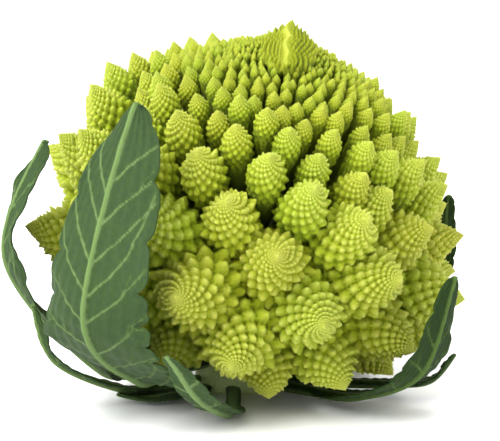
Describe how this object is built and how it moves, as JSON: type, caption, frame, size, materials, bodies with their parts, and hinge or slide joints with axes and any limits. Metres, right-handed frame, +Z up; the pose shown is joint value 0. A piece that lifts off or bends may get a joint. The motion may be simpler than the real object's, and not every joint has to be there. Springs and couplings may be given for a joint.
{
  "type": "romanesco head",
  "caption": "Fresh romanesco head: a spiral dome of pointed lime-green florets on a cut stem, wrapped by grey-green leaves.",
  "frame": {"origin": "middle of the stem's flat cut, on the surface that the head rests on", "axes": "+Z up, -Y towards the front, +X to the right; the growing tip leans to +X and -Y"},
  "size_m": [0.1938, 0.2009, 0.152],
  "materials": {
    "floret": "waxy, matt",
    "crown": "waxy, matt",
    "stem": "moist, matt",
    "leaf": "waxy bloom"
  },
  "bodies": {
    "root": {"floret_01": "floret", "floret_02": "floret", "floret_03": "floret", "floret_04": "floret", "floret_05": "floret", "floret_06": "floret", "floret_07": "floret", "floret_08": "floret", "floret_09": "floret", "floret_10": "floret", "floret_11": "floret", "floret_12": "floret", "floret_13": "floret", "floret_14": "floret", "floret_15": "floret", "floret_16": "floret", "floret_17": "floret", "floret_18": "floret", "floret_19": "floret", "floret_20": "floret", "floret_21": "floret", "floret_22": "floret", "floret_23": "floret", "floret_24": "floret", "floret_25": "floret", "floret_26": "floret", "floret_27": "floret", "floret_28": "floret", "floret_29": "floret", "floret_30": "floret", "floret_31": "floret", "floret_32": "floret", "floret_33": "floret", "floret_34": "floret", "floret_35": "floret", "floret_36": "floret", "floret_37": "floret", "floret_38": "floret", "floret_39": "floret", "floret_40": "floret", "floret_41": "floret", "floret_42": "floret", "floret_43": "floret", "floret_44": "floret", "floret_45": "floret", "floret_46": "floret", "crown": "crown", "stem": "stem", "front_left_leaf": "leaf", "left_leaf": "leaf", "small_left_leaf": "leaf", "low_front_leaf": "leaf", "folded_leaf": "leaf", "right_leaf": "leaf", "right_inner_leaf": "leaf", "back_right_leaf": "leaf", "back_leaf": "leaf", "back_left_leaf": "leaf"}
  },
  "joints": []
}
